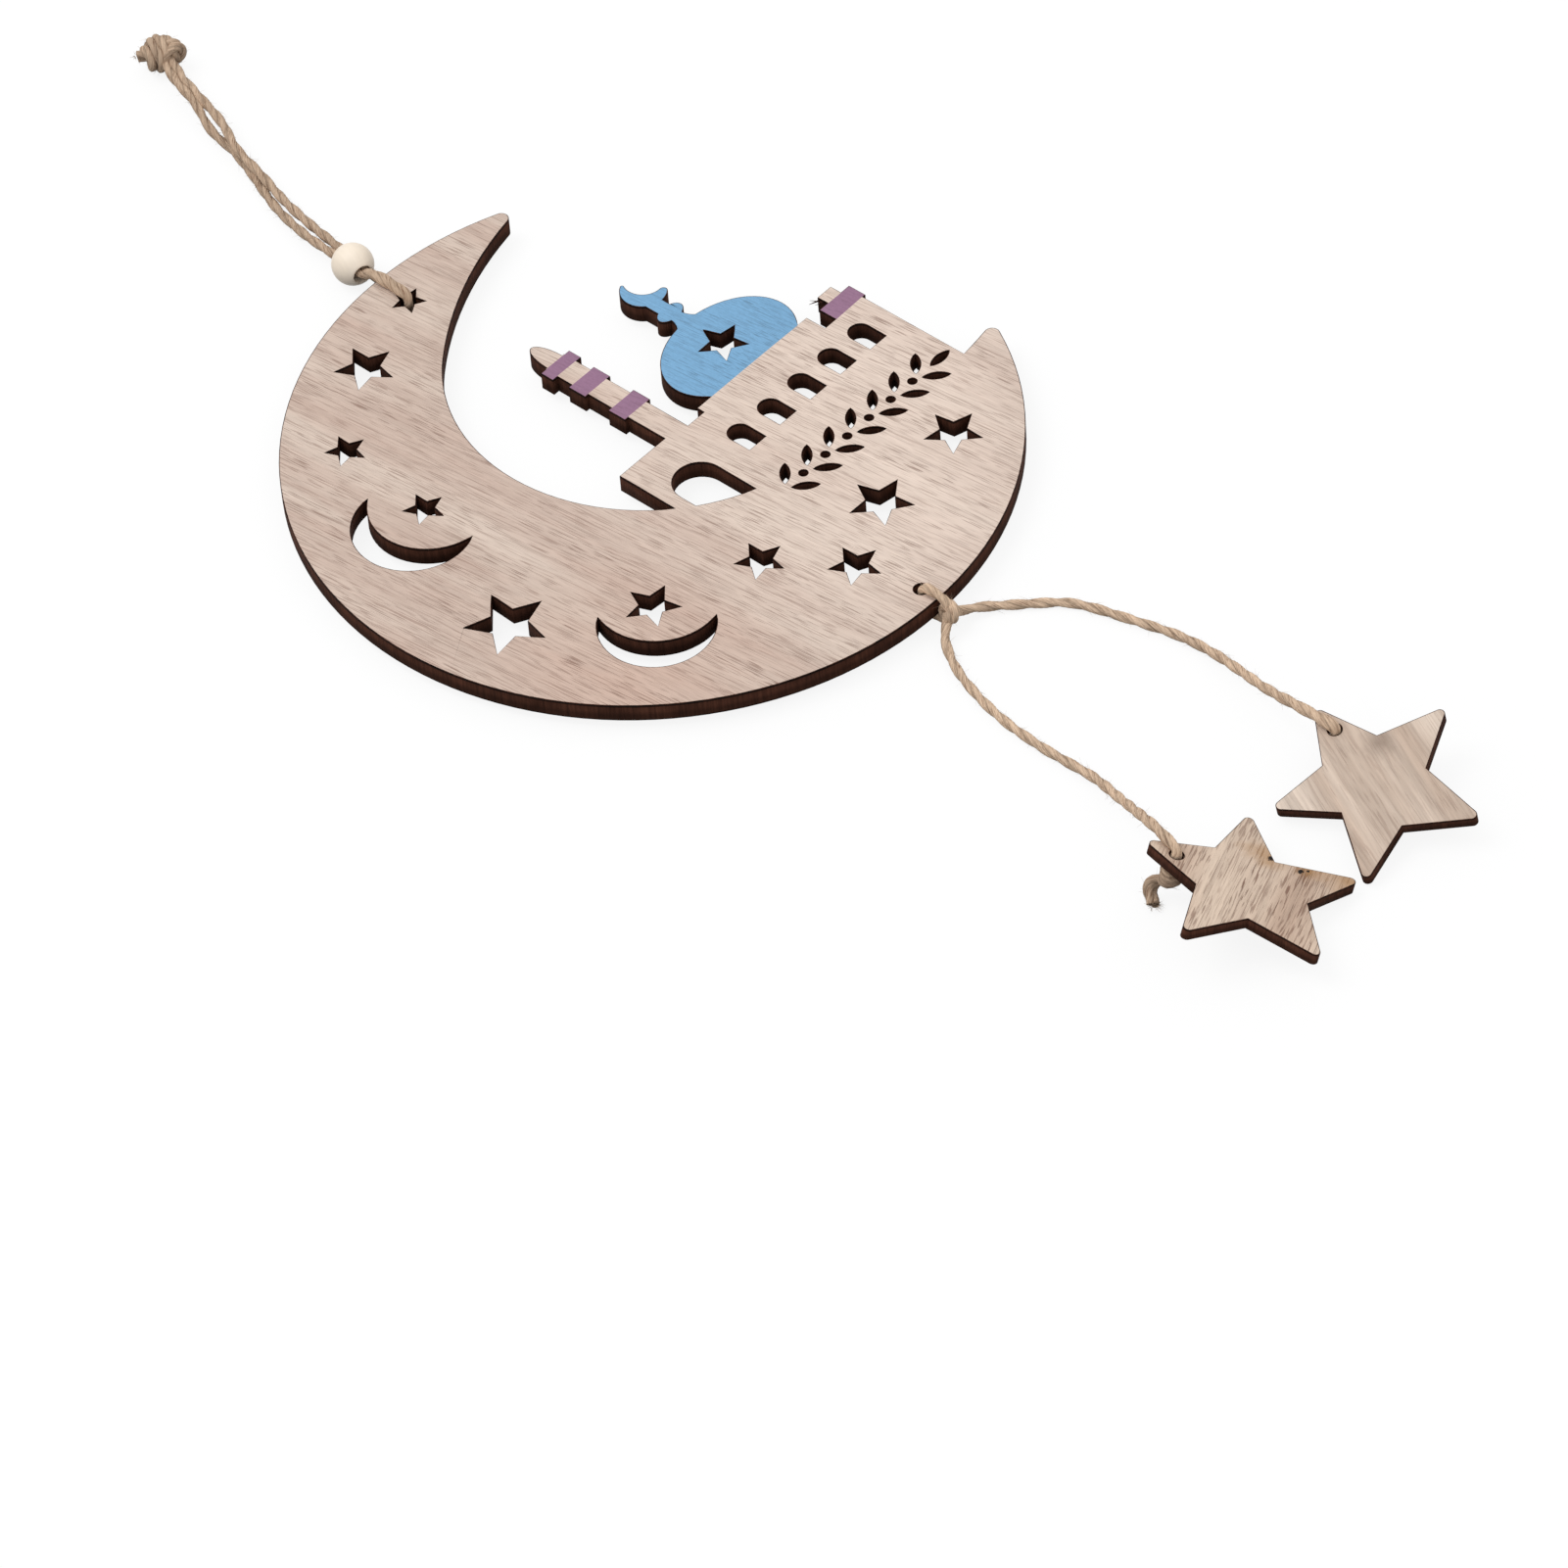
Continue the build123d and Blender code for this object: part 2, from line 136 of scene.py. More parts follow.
# Board, with its painted areas as low and high corners in millimetres
board_back = 2.3 * mm
board_thickness = 5.0 * mm
board_relief = 0.06 * mm
dome_area = ((18.0, 61.679), (60.5, 110.785))
band_areas = (
    ((62.5, 55.679), (75.0, 60.979)), ((4.465, 72.779), (15.265, 78.179)),
    ((4.465, 85.779), (15.265, 91.179)), ((4.465, 95.879), (15.265, 99.779)),
)
dome_grain_share = 0.6
band_grain_share = 0.4
paint_relief = 0.04 * mm
wall_relief = 0.05 * mm
board_grain = radians(95 - 90)
board_fair = (((52.0, 40.0, 7.3), 105.0), ((24.0, -14.0, 7.3), 52.0))
board_ruddy = (((-58.0, 14.0, 7.3), 40.0),)
splinter_roots = (
    (66.3, 61.4, 6.7), (66.3, 62.1, 6.9), (66.3, 62.7, 6.6), (66.3, 63.3, 6.8), (66.3, 63.9, 6.5),
)
splinter_heading = Vector((-0.62, 0.78, 0.05))
splinter_spread = 0.35
splinter_curl = 0.3
splinter_lengths = (2.2, 3.6)
splinter_thickness = 0.22 * mm

# Grain: how far each layer is drawn out along it, and how fine the layer is
broad_stretch = 9.0
broad_scale = 0.075
cluster_scale = 0.24
fibre_stretch = 26.0
fibre_scale = 3.4
fibre_light = 0.075
hair_stretch = 60.0
hair_scale = 3.6
hair_share = 0.65
noise_low = 0.3
noise_high = 0.7

# Stars: places of their marks in millimetres, with how far each mark spreads
star_thickness = 3.0 * mm
left_star_grain = radians(23 - 90)
left_star_shift = 0.013
left_star_relief = 0.12 * mm
right_star_grain = radians(66 - 90)
right_star_shift = 0.031
right_star_relief = 0.06 * mm
left_star_nicks = (
    ((-10.7, -140.4, 7.9), 0.9), ((-8.5, -147.3, 6.5), 0.7), ((-9.2, -147.5, 6.7), 0.55),
    ((-7.3, -148.3, 6.1), 0.5),
)
left_star_scorch = (
    ((-11.1, -138.4, 8.2), 6.0), ((-2.6, -156.0, 4.2), 8.5), ((-7.0, -149.0, 5.9), 4.5),
)
right_star_smudge = (((31.2, -138.0, 10.0), 5.2),)

# Bead on its two strands
bead_middle = Vector((6.215, 164.379, 5.35)) * mm
pull = Vector((0.266095, 0.963947, 0.0))
bead_bore = 2.3 * mm
bead_lip = bead_bore + 0.25 * mm
bead_chamfer = 0.5 * mm
bead_half_length = 4.9 * mm
bead_sides = 48
bead_levels = 2
bead_grain = -radians(15.4)
bead_relief = 0.02 * mm
bead_profile = (
    (3.3, -4.35), (4.5, -3.05), (5.2, -1.55), (5.4, 0.0), (5.2, 1.55), (4.5, 3.05), (3.3, 4.35),
)

# Twine: its plies as shares of its thickness, and how uneven they are
ply_count = 2
ply_sides = 10
ply_radius = 0.395
ply_offset = 0.125
ring_step = 0.45 * mm
route_order = 3
route_resolution = 24
turn_points = 12
shortest_step = 1e-9
uneven_length = 2.6 * mm
uneven_share = 0.06
slub_length = 11.0 * mm
slub_share = 0.09
slub_row = 40.0
lay_range = 500.0
lay_stretch = 0.14
loose_reach = 26.0 * mm
loose_middle = 10.0 * mm
twine_relief = 0.2 * mm

# Fibres that leave the twine
fibre_steps = 4
fibre_sides = 3
fibre_taper = 0.85
fibre_clearance = 0.1 * mm
fibres_together = 16
bare_rings = 16
stray_thickness = 0.04 * mm
stray_root = 0.4
stray_hold = 0.2
fray_thickness = 0.06 * mm
fray_scatter = 0.6 * mm
fray_spread = 0.35
fray_curl = 0.5

# Hanger: both strands run from the star hole, through the bead, to the knot
hanger_light = 0.78
hanger_front_loose = 0.32
hanger_core_reach = 3.9 * mm
hanger_fray_count = 14
hanger_fray_length = 1.5 * mm
hanger_front_route = (
    (3.715, 142.979, 4.8), (3.715, 142.979, 7.4), (3.75, 143.6, 9.0), (3.8, 145.0, 9.2),
    (4.0, 149.0, 9.2), (4.3, 154.2, 9.0), (4.5, 157.0, 7.7), (4.6, 159.2, 6.1),
    (4.9, 161.2, 5.35), (5.3, 164.65, 5.2), (6.0, 168.185, 5.2), (6.5, 173.285, 4.6),
    (8.2, 182.985, 3.0), (11.5, 195.985, 1.8), (16.0, 206.385, 1.3), (21.4, 220.385, 1.3),
    (21.5, 228.185, 2.2), (25.2, 236.885, 4.9), (26.6, 241.685, 5.2), (27.9, 246.585, 5.2),
    (29.6, 250.4, 5.2), (31.6, 254.8, 5.2),
)
hanger_back_route = (
    (3.715, 142.979, 4.8), (3.715, 142.979, 2.4), (3.715, 143.485, 1.3), (3.8, 144.785, 1.2),
    (5.4, 149.0, 1.2), (7.2, 153.6, 1.25), (8.0, 156.4, 2.4), (7.5, 158.4, 3.9),
    (6.7, 160.8, 4.9), (7.23, 164.085, 5.2), (8.2, 167.785, 5.2), (9.0, 172.585, 4.8),
    (11.7, 185.185, 3.4), (14.2, 196.485, 3.0), (17.5, 206.785, 3.3), (19.7, 217.685, 3.8),
    (25.0, 227.185, 3.8), (27.0, 236.185, 5.1), (28.4, 241.185, 5.2), (29.7, 245.985, 5.2),
    (31.6, 250.0, 5.3), (33.2, 254.2, 5.3),
)
hanger_ball = Coil(
    middle=Vector((33.0, 257.1, 5.3)) * mm, axis=Vector((0.8953, -0.4454, 0.0)),
    radius=2.4 * mm, start=0.4, turns=3.6, low=-3.7 * mm, high=3.7 * mm, bulge=1.6 * mm,
)
hanger_lobe = Coil(
    middle=Vector((34.4, 254.0, 5.5)) * mm, axis=pull,
    radius=2.8 * mm, start=2.2, turns=1.7, low=-1.6 * mm, high=1.6 * mm,
)
hanger_ends = (
    ((33.0, 257.1, 5.2), (31.2, 259.2, 5.4), (29.0, 261.8, 4.8)),
    ((33.0, 257.1, 4.2), (31.6, 259.8, 3.8), (30.2, 262.2, 3.2)),
)

# Tie at the lower rim
tie_coil = Coil(
    middle=Vector((6.015, -29.45, 4.8)) * mm, axis=Vector((0.968, -0.251, 0.0)),
    radius=1.8 * mm, start=1.2, turns=2.2, low=-1.3 * mm, high=1.3 * mm,
)
tie_loop_route = (
    (6.015, -29.615, 6.4), (6.015, -28.515, 7.9), (6.015, -26.615, 8.7), (6.015, -23.815, 8.85),
    (6.015, -22.115, 8.6), (6.015, -21.315, 7.4), (6.015, -21.315, 4.8), (6.015, -21.315, 2.3),
    (6.015, -22.115, 1.3), (6.015, -23.815, 1.2), (6.015, -26.615, 1.2), (6.015, -28.515, 1.9),
    (6.015, -29.615, 3.0),
)

# Pendants: over a star each runs through places that lie ahead of the hole and above the back
star_approach = ((10.0, 4.5), (5.0, 4.5), (2.0, 4.5), (0.3, 4.2), (0.0, 2.6), (0.0, -0.3))
# The stopper knots take a darker copy of the jute: painted shade from the star that lies over
# them.
stopper_painted_shade = 0.72
stopper_entry = 0.5 * mm
stopper_radius = 1.7 * mm
stopper_top = 1.5 * mm
stopper_fray_count = 26
stopper_fray_length = 2.0 * mm
left_route = (
    (4.9, -30.2, 4.4), (3.385, -30.511, 3.3), (-0.585, -33.571, 1.6), (-5.885, -42.671, 1.2),
    (-10.285, -57.671, 1.2), (-11.585, -71.471, 1.2), (-11.385, -83.171, 1.2),
    (-11.885, -89.471, 2.0), (-15.085, -97.471, 5.0), (-19.285, -106.171, 9.6),
)
left_tails = (
    ((-28.6, -124.2, 5.6), (-29.9, -122.2, 5.4), (-31.4, -121.3, 4.7), (-32.7, -121.9, 3.4),
     (-33.2, -123.1, 2.2), (-34.3, -124.3, 1.4)),
    ((-27.4, -124.4, 4.6), (-28.8, -122.9, 4.4), (-30.6, -121.9, 3.6), (-32.0, -122.4, 2.4),
     (-32.5, -123.7, 1.5), (-33.5, -124.9, 1.35)),
)
right_route = (
    (7.4, -29.7, 4.4), (8.821, -30.083, 3.3), (13.115, -31.571, 2.2), (17.415, -34.971, 1.4),
    (21.515, -39.071, 1.2), (27.615, -45.571, 1.2), (30.215, -50.771, 1.2),
    (33.315, -62.271, 1.2), (36.315, -74.771, 1.3), (36.115, -85.271, 2.2),
    (33.715, -96.171, 4.4), (30.615, -105.571, 7.4),
)
right_tails = (((28.8, -129.6, 2.4), (27.7, -132.0, 1.5), (27.0, -134.2, 1.35)),)
pendants = (
    Pendant(
        side="left", heading=radians(78.0), loose=0.15, turns=2.4, depth=5.0 * mm,
        route=left_route, tails=left_tails,
    ),
    Pendant(
        side="right", heading=radians(90.7), loose=0.38, turns=2.0, depth=4.3 * mm,
        route=right_route, tails=right_tails,
    ),
)


def shade(red, green, blue):
    """A screen colour from 0 to 255 as the linear colour that sockets take."""
    return tuple(
        (level / 255 / 12.92) if level < 11 else ((level / 255 + 0.055) / 1.055) ** 2.4
        for level in (red, green, blue)
    )


def colour_property(name, description, *levels):
    """A colour with its name, description and screen levels."""
    return FloatVectorProperty(
        name=name, description=description, subtype="COLOR", size=3, min=0.0, max=1.0,
        default=shade(*levels),
    )


def length_property(name, description, default, low, high):
    """A length in metres with its name, description and limits."""
    return FloatProperty(
        name=name, description=description, subtype="DISTANCE", unit="LENGTH",
        precision=5, default=default, min=low, max=high,
    )


class OrnamentColours(PropertyGroup):
    """Colours of the wood, paint and twine."""

    board_pale: colour_property("Board, pale", "Veneer between its streaks", 217, 198, 184)
    board_streak: colour_property("Board, streak", "Brown streaks of the veneer", 198, 173, 159)
    right_star_pale: colour_property("Right star, pale", "Far star's wood", 226, 208, 192)
    right_star_streak: colour_property("Right star, streak", "Far star's grain", 194, 171, 153)
    left_star_pale: colour_property("Left star, pale", "Near star's wood", 224, 202, 182)
    left_star_streak: colour_property("Left star, streak", "Near star's grain", 200, 173, 153)
    board_fair: colour_property("Board, fair", "Paler wood round the mosque", 238, 219, 205)
    board_ruddy: colour_property("Board, ruddy", "Pinker wood low on the left", 208, 178, 162)
    pore: colour_property("Pores", "Short dark dashes in the wood", 112, 72, 55)
    scorch: colour_property("Scorch", "Wood browned by heat", 176, 132, 84)
    smudge: colour_property("Smudge", "Dull stain on the far star", 128, 108, 95)
    dome_paint: colour_property("Dome paint", "Blue of the dome", 124, 173, 211)
    band_paint: colour_property("Band paint", "Mauve of the minaret and tower", 153, 115, 142)
    char: colour_property("Char", "Edge burnt by the laser", 22, 13, 10)
    core: colour_property("Core", "Brown middle of a cut edge", 84, 52, 40)
    bead: colour_property("Bead", "Turned bead", 250, 236, 218)
    twine_pale: colour_property("Twine, pale", "Jute in the light", 232, 203, 175)
    twine_dark: colour_property("Twine, dark", "Jute in its grooves", 122, 88, 66)
    floor: colour_property("Floor", "Floor of the stage", 102, 102, 102)


class OrnamentSizes(PropertyGroup):
    """Sizes of the finishing details."""

    twine_diameter: length_property(
        "Twine", "Thickness of the twine", 2.45 * mm, 1.0 * mm, 3.0 * mm
    )
    twine_lay: length_property(
        "Lay", "Length of one turn of the plies", 13.5 * mm, 3.0 * mm, 20.0 * mm
    )
    stray_length: length_property("Stray fibre", "Longest stray fibre", 2.9 * mm, 0.0, 4.0 * mm)
    stray_spacing: length_property(
        "Stray spacing", "Length of twine for each stray fibre", 0.28 * mm, 0.2 * mm, 20.0 * mm
    )
    scorch_width: length_property(
        "Scorch line", "Dark line along a cut", 0.2 * mm, 0.05 * mm, 0.6 * mm
    )
    scorch_drop: length_property(
        "Edge ease", "How far a cut's edge is eased", 0.07 * mm, 0.0, 0.3 * mm
    )
    fibre_seed: IntProperty(
        name="Fibre seed", description="Seed of the stray fibres", default=7, min=0
    )


class Finish:
    """A procedural material while its nodes are laid out."""

    def __init__(self, name):
        self.material = bpy.data.materials.new(name)
        self.material.use_nodes = True
        self.tree = self.material.node_tree
        self.shader = self.tree.nodes["Principled BSDF"]

    def node(self, kind, **settings):
        made = self.tree.nodes.new("ShaderNode" + kind)
        for name, value in settings.items():
            setattr(made, name, value)
        return made

    def feed(self, socket, source):
        """Links a socket, or sets it to a number or a colour."""
        if isinstance(source, bpy.types.NodeSocket):
            self.tree.links.new(source, socket)
        elif isinstance(source, (int, float)):
            socket.default_value = source
        else:
            socket.default_value = (*source, 1.0)

    def grain_place(self, stretch, turn=0.0, shift=0.0):
        """Object coordinates in millimetres, drawn out along the grain."""
        coordinates = self.node("TexCoord")
        mapping = self.node("Mapping", vector_type="TEXTURE")
        mapping.inputs["Location"].default_value = (shift, shift, 0.0)
        mapping.inputs["Rotation"].default_value = (0.0, 0.0, turn)
        mapping.inputs["Scale"].default_value = (mm, mm * stretch, mm * stretch)
        self.feed(mapping.inputs["Vector"], coordinates.outputs["Object"])
        return mapping.outputs["Vector"]

    def spread_place(self, scale=(1.0, 1.0, 1.0)):
        """Object coordinates in millimetres, scaled along each axis."""
        coordinates = self.node("TexCoord")
        mapping = self.node("Mapping")
        mapping.inputs["Scale"].default_value = [share / mm for share in scale]
        self.feed(mapping.inputs["Vector"], coordinates.outputs["Object"])
        return mapping.outputs["Vector"]

    def attribute(self, name):
        return self.node("Attribute", attribute_name=name)

    def noise(self, place, scale, detail=3.0, roughness=0.5, distortion=0.0):
        made = self.node("TexNoise")
        self.feed(made.inputs["Vector"], place)
        self.feed(made.inputs["Scale"], scale)
        self.feed(made.inputs["Detail"], detail)
        self.feed(made.inputs["Roughness"], roughness)
        self.feed(made.inputs["Distortion"], distortion)
        return made.outputs[0]

    def span(self, value, low, high, to_low=0.0, to_high=1.0):
        made = self.node("MapRange")
        for socket, source in zip(made.inputs, (value, low, high, to_low, to_high)):
            self.feed(socket, source)
        return made.outputs[0]

    def vary(self, value, low, high):
        """Spreads the usual range of a noise over two levels."""
        return self.span(value, noise_low, noise_high, low, high)

    def calculate(self, operation, first, second):
        made = self.node("Math", operation=operation)
        self.feed(made.inputs[0], first)
        self.feed(made.inputs[1], second)
        return made.outputs[0]

    def blend(self, amount, first, second, blend_type="MIX"):
        made = self.node("Mix", data_type="RGBA", blend_type=blend_type)
        self.feed(made.inputs[0], amount)
        self.feed(made.inputs[6], first)
        self.feed(made.inputs[7], second)
        return made.outputs[2]

    def tint(self, tone, light):
        """A tone made lighter or darker."""
        return self.blend(1.0, tone, light, "MULTIPLY")

    def ramp(self, value, *stops):
        made = self.node("ValToRGB")
        elements = made.color_ramp.elements
        while len(elements) < len(stops):
            elements.new(1.0)
        for element, (position, colour) in zip(elements, stops):
            element.position = position
            element.color = (*colour, 1.0)
        self.feed(made.inputs[0], value)
        return made.outputs["Color"]

    def nearness(self, point, reach, rough):
        """One at a point in millimetres, falling unevenly to nothing at the reach."""
        coordinates = self.node("TexCoord")
        away = self.node("VectorMath", operation="DISTANCE")
        self.feed(away.inputs[0], coordinates.outputs["Object"])
        away.inputs[1].default_value = [share * mm for share in point]
        edge = self.noise(self.spread_place(), 1.1 / reach, detail=3.0, roughness=0.6)
        wander = self.span(edge, 0.25, 0.75, -rough * reach * mm, rough * reach * mm)
        distance = self.calculate("ADD", away.outputs["Value"], wander)
        return self.span(distance, 0.0, reach * mm, 1.0, 0.0)

    def relief(self, height, depth):
        made = self.node("Bump")
        self.feed(made.inputs["Distance"], depth)
        self.feed(made.inputs["Height"], height)
        self.feed(self.shader.inputs["Normal"], made.outputs["Normal"])

    def surface(self, colour, roughness, specular):
        self.feed(self.shader.inputs["Base Color"], colour)
        self.feed(self.shader.inputs["Roughness"], roughness)
        self.feed(self.shader.inputs["Specular IOR Level"], specular)


def lay_marks(finish, tone, marks):
    """Blends the colours of marks into a tone at their places."""
    for places, colour, share, rough in marks:
        for point, reach in places:
            near = finish.calculate("MULTIPLY", finish.nearness(point, reach, rough), share)
            tone = finish.blend(near, tone, colour)
    return tone


def wood_tone(finish, wood, turn, shift, grounds=()):
    """Colour and height of sawn wood: broad bands, fine fibres, hairlines and pores."""
    broad_place = finish.grain_place(broad_stretch, turn, shift)
    fibre_place = finish.grain_place(fibre_stretch, turn, shift)
    pore_place = finish.grain_place(wood.pore_stretch, turn, shift)
    hair_place = finish.grain_place(hair_stretch, turn, shift)
    broad = finish.noise(broad_place, broad_scale, detail=3.0, roughness=0.5, distortion=0.3)
    bands = finish.noise(fibre_place, wood.band_scale, detail=4.0, roughness=0.6)
    fibres = finish.noise(fibre_place, fibre_scale, detail=3.0, roughness=0.65)
    clusters = finish.noise(broad_place, cluster_scale, detail=2.0)
    dashes = finish.noise(pore_place, wood.pore_scale, detail=1.0, roughness=0.4)
    hairs = finish.noise(hair_place, hair_scale, detail=1.0, roughness=0.4)
    tone = finish.blend(finish.span(broad, 0.38, 0.66), wood.pale, wood.streak)
    tone = lay_marks(finish, tone, grounds)
    light = finish.calculate(
        "ADD", finish.vary(bands, 1.0 - wood.band_share, 1.0 + 0.7 * wood.band_share),
        finish.vary(fibres, -fibre_light, fibre_light),
    )
    tone = finish.tint(tone, light)
    dash = finish.span(dashes, 0.57, 0.66)
    dash = finish.calculate("MULTIPLY", dash, finish.span(clusters, 0.35, 0.65, 0.35, 1.0))
    hair = finish.span(hairs, 0.59, 0.72, 0.0, hair_share)
    dark = finish.calculate("MAXIMUM", dash, hair)
    tone = finish.blend(finish.calculate("MULTIPLY", dark, wood.pore_share), tone, wood.pore)
    height = finish.calculate("SUBTRACT", fibres, dark)
    return tone, height


def veneer_finish(name, wood, turn, shift, depth, grounds=(), marks=()):
    """Bare sanded wood, with grounds under its grain and marks over it."""
    finish = Finish(name)
    tone, height = wood_tone(finish, wood, turn, shift, grounds)
    finish.surface(lay_marks(finish, tone, marks), roughness=0.68, specular=0.3)
    finish.relief(height, depth)
    return finish


def paint_finish(name, paint, colours, grain_share):
    """Thin paint on the veneer, with the wood's grain showing through."""
    finish = Finish(name)
    grain = Wood(
        white, white, colours.pore, pore_share=0.6, pore_scale=4.4, pore_stretch=18.0,
        band_scale=0.6, band_share=0.04,
    )
    tone, height = wood_tone(finish, grain, board_grain, 0.0)
    weave = finish.noise(finish.grain_place(2.5), 2.4, detail=2.0, roughness=0.6)
    coat = finish.tint(paint, finish.vary(weave, 0.93, 1.06))
    coat = finish.blend(grain_share, coat, tone, "MULTIPLY")
    finish.surface(coat, roughness=0.62, specular=0.3)
    finish.relief(height, paint_relief)
    return finish


def char_finish(name, colours):
    """The burnt wall of a cut, by its depth in the sheet."""
    finish = Finish(name)
    depth = finish.attribute("sheet_depth").outputs["Fac"]
    streaks = finish.noise(
        finish.spread_place((1.0, 1.0, 0.06)), 1.7, detail=4.0, roughness=0.6
    )
    smoke = finish.noise(finish.spread_place(), 0.12, detail=2.0)
    dark = colours.char
    brown = colours.core
    soot = tuple(0.5 * (level + other) for level, other in zip(dark, brown))
    wall = finish.ramp(
        depth, (0.0, dark), (0.14, soot), (0.35, soot), (0.6, brown), (0.84, brown), (0.92, dark),
        (1.0, dark),
    )
    wall = finish.tint(wall, finish.vary(streaks, 0.6, 1.3))
    wall = finish.tint(wall, finish.span(smoke, 0.35, 0.65, 0.75, 1.2))
    finish.surface(wall, roughness=0.8, specular=0.06)
    finish.relief(streaks, wall_relief)
    return finish


def scorch_finish(name, colours):
    """The dark line where a cut meets the face."""
    finish = Finish(name)
    marks = finish.noise(finish.spread_place(), 0.9, detail=3.0)
    tone = finish.blend(finish.span(marks, 0.35, 0.65), colours.char, colours.core)
    finish.surface(tone, roughness=0.8, specular=0.06)
    return finish


def twine_finish(name, colours, light=1.0):
    """Jute: pale and dark fibres that follow each ply, with painted shade in the grooves between
    the plies.
    """
    finish = Finish(name)
    lay = finish.attribute("twine_lay").outputs["Vector"]
    mapping = finish.node("Mapping")
    mapping.inputs["Scale"].default_value = (1.0, 1.0, lay_stretch)
    finish.feed(mapping.inputs["Vector"], lay)
    place = mapping.outputs["Vector"]
    fibres = finish.noise(place, 2.9, detail=5.0, roughness=0.65, distortion=0.3)
    patches = finish.noise(place, 0.55, detail=2.0)
    pale = tuple(light * level for level in colours.twine_pale)
    dark = colours.twine_dark
    middle = tuple(0.55 * first + 0.45 * second for first, second in zip(pale, dark))
    tone = finish.ramp(fibres, (0.3, dark), (0.42, middle), (0.56, pale))
    tone = finish.tint(tone, finish.vary(patches, 0.85, 1.1))
    axes = finish.node("SeparateXYZ")
    finish.feed(axes.inputs[0], lay)
    # Painted shade: each ply's inner side, facing the twine's middle, is darkened where the groove
    # between the plies lies in shade.
    groove_painted_shade = finish.span(axes.outputs["X"], -0.7, 0.15, 0.38, 1.0)
    tone = finish.tint(tone, groove_painted_shade)
    finish.surface(tone, roughness=0.85, specular=0.2)
    finish.relief(fibres, twine_relief)
    return finish


def bead_finish(name, colours):
    """Turned pale wood, sanded smooth, with the grain along its bore."""
    finish = Finish(name)
    place = finish.grain_place(broad_stretch, bead_grain)
    fibres = finish.noise(place, 1.6, detail=4.0, roughness=0.6)
    broad = finish.noise(place, 0.25, detail=2.0)
    pale = colours.bead
    warm = (pale[0] * 0.9, pale[1] * 0.84, pale[2] * 0.76)
    tone = finish.blend(finish.span(broad, 0.35, 0.7, 0.0, 0.3), pale, warm)
    tone = finish.tint(tone, finish.vary(fibres, 0.97, 1.02))
    finish.surface(tone, roughness=0.42, specular=0.4)
    finish.relief(fibres, bead_relief)
    return finish


def floor_finish(name, colours):
    """White floor that keeps the shadows."""
    finish = Finish(name)
    finish.surface(colours.floor, roughness=0.9, specular=0.1)
    rays = finish.node("LightPath")
    seen = rays.outputs["Is Camera Ray"]
    for kind in ("Is Glossy Ray", "Is Transmission Ray"):
        seen = finish.calculate("MAXIMUM", seen, rays.outputs[kind])
    finish.feed(finish.shader.inputs["Emission Color"], white)
    glow = finish.calculate("MULTIPLY", seen, floor_glow)
    finish.feed(finish.shader.inputs["Emission Strength"], glow)
    return finish


def show(shape, name, finishes, body, slot, *nodes):
    """Puts a finished mesh in the scene in place of its CAD nodes."""
    mesh = bpy.data.meshes.new(name)
    shape.to_mesh(mesh)
    shape.free()
    for finish in finishes:
        mesh.materials.append(finish.material)
    mesh.set_sharp_from_angle(angle=sharp_angle)
    piece = bpy.data.objects.new(name, mesh)
    bpy.context.scene.collection.objects.link(piece)
    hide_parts(*nodes)
    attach(piece, body)
    return piece


def metres(route):
    return [Vector(point) * mm for point in route]


def sheet_copy(node):
    """A merged copy of a cut sheet."""
    shape = bmesh.new()
    shape.from_mesh(frame["nodes"][node].data)
    bmesh.ops.remove_doubles(shape, verts=shape.verts, dist=merge_reach)
    return shape


def faces_toward(shape, direction):
    return [part for part in shape.faces if part.normal.dot(direction) > facing]


def inside(point, area):
    """Whether a point lies in an area of the board's face."""
    (left, low), (right, high) = area
    return left * mm < point.x < right * mm and low * mm < point.y < high * mm


def cut_faces(shape, direction, place, normal):
    """Cuts the faces on one side of a sheet along a plane."""
    faces = faces_toward(shape, direction)
    edges = {edge for part in faces for edge in part.edges}
    points = {point for part in faces for point in part.verts}
    bmesh.ops.bisect_plane(
        shape, geom=[*faces, *edges, *points], dist=snap, plane_co=place, plane_no=normal
    )


def ease_cuts(shape, face, sizes):
    """Draws a narrow scorched line round the cuts of both faces and eases the edge."""
    for direction in (face, -face):
        rim = bmesh.ops.inset_region(
            shape, faces=faces_toward(shape, direction), thickness=sizes.scorch_width,
            depth=0.0, use_boundary=True, use_even_offset=False,
        )["faces"]
        outer = {
            point
            for part in rim
            for point in part.verts
            if any(abs(other.normal.dot(face)) < wall_slope for other in point.link_faces)
        }
        bmesh.ops.translate(shape, verts=list(outer), vec=-direction * sizes.scorch_drop)
        for part in rim:
            part.material_index = scorch_index
        for part in faces_toward(shape, direction):
            part.smooth = False


def keep_depth(shape, foot, face, thickness):
    """Keeps how deep each point lies in the sheet, from nothing at the back to one in front."""
    layer = shape.verts.layers.float.new("sheet_depth")
    for point in shape.verts:
        point[layer] = (point.co - foot).dot(face) / thickness


def twine_line(route):
    """Points along the smooth curve that the route's points control, a ring step apart."""
    curve = bpy.data.curves.new("twine_route", "CURVE")
    curve.dimensions = "3D"
    spline = curve.splines.new("NURBS")
    spline.points.add(len(route) - 1)
    for control, point in zip(spline.points, route):
        control.co = (*point, 1.0)
    spline.order_u = route_order
    spline.use_endpoint_u = True
    spline.resolution_u = route_resolution
    holder = bpy.data.objects.new("twine_route", curve)
    line_mesh = bpy.data.meshes.new_from_object(holder)
    line = [point.co.copy() for point in line_mesh.vertices]
    bpy.data.meshes.remove(line_mesh)
    bpy.data.objects.remove(holder)
    bpy.data.curves.remove(curve)
    return line


